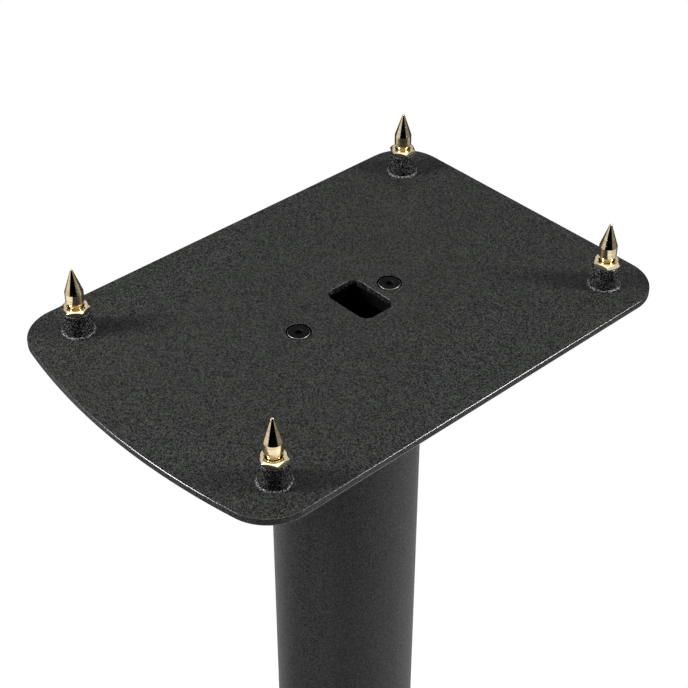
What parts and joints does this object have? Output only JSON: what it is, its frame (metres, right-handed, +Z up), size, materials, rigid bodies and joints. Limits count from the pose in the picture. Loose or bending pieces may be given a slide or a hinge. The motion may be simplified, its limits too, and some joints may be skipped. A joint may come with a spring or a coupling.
{
  "type": "speaker stand",
  "caption": "Speaker stand: round steel pillar between bow-fronted plates, with height-adjustable locking spikes above and below and a cable way through the pillar.",
  "frame": {"origin": "on the floor under the pillar's axis, which is the middle of the base", "axes": "+X to the stand's right, +Y to its rear, +Z up; the bowed plate edges face -Y"},
  "size_m": [0.28, 0.34, 0.637],
  "materials": {
    "powder_coat": "fine-textured matt black powder coat on steel",
    "weld_black": "rough black coat over welded steel",
    "brass": "polished pale brass plate",
    "black_oxide": "satin black oxide"
  },
  "bodies": {
    "root": {"top_plate": "powder_coat", "base_plate": "powder_coat", "pillar_tube": "powder_coat", "pillar_top_ring": "weld_black", "pillar_base_ring": "weld_black", "top_boss_front_left": "weld_black", "base_boss_front_left": "weld_black", "top_nut_front_left": "brass", "base_nut_front_left": "brass", "top_boss_front_right": "weld_black", "base_boss_front_right": "weld_black", "top_nut_front_right": "brass", "base_nut_front_right": "brass", "top_boss_rear_left": "weld_black", "base_boss_rear_left": "weld_black", "top_nut_rear_left": "brass", "base_nut_rear_left": "brass", "top_boss_rear_right": "weld_black", "base_boss_rear_right": "weld_black", "top_nut_rear_right": "brass", "base_nut_rear_right": "brass", "top_screw_front": "black_oxide", "top_screw_rear": "black_oxide", "base_screw_1": "black_oxide", "base_screw_2": "black_oxide", "base_screw_3": "black_oxide", "base_screw_4": "black_oxide"},
    "top_spike_front_left": {"top_spike_front_left": "brass"},
    "top_spike_front_right": {"top_spike_front_right": "brass"},
    "top_spike_rear_left": {"top_spike_rear_left": "brass"},
    "top_spike_rear_right": {"top_spike_rear_right": "brass"},
    "floor_spike_front_left": {"floor_spike_front_left": "brass"},
    "floor_spike_front_right": {"floor_spike_front_right": "brass"},
    "floor_spike_rear_left": {"floor_spike_rear_left": "brass"},
    "floor_spike_rear_right": {"floor_spike_rear_right": "brass"}
  },
  "joints": [
    {"name": "top_spike_front_left_height", "type": "slide", "parent": "root", "child": "top_spike_front_left", "axis": [0, 0, 1], "range_m": [-0.002, 0.004]},
    {"name": "top_spike_front_right_height", "type": "slide", "parent": "root", "child": "top_spike_front_right", "axis": [0, 0, 1], "range_m": [-0.002, 0.004]},
    {"name": "top_spike_rear_left_height", "type": "slide", "parent": "root", "child": "top_spike_rear_left", "axis": [0, 0, 1], "range_m": [-0.002, 0.004]},
    {"name": "top_spike_rear_right_height", "type": "slide", "parent": "root", "child": "top_spike_rear_right", "axis": [0, 0, 1], "range_m": [-0.002, 0.004]},
    {"name": "floor_spike_front_left_height", "type": "slide", "parent": "root", "child": "floor_spike_front_left", "axis": [0, 0, -1], "range_m": [-0.002, 0.004]},
    {"name": "floor_spike_front_right_height", "type": "slide", "parent": "root", "child": "floor_spike_front_right", "axis": [0, 0, -1], "range_m": [-0.002, 0.004]},
    {"name": "floor_spike_rear_left_height", "type": "slide", "parent": "root", "child": "floor_spike_rear_left", "axis": [0, 0, -1], "range_m": [-0.002, 0.004]},
    {"name": "floor_spike_rear_right_height", "type": "slide", "parent": "root", "child": "floor_spike_rear_right", "axis": [0, 0, -1], "range_m": [-0.002, 0.004]}
  ]
}
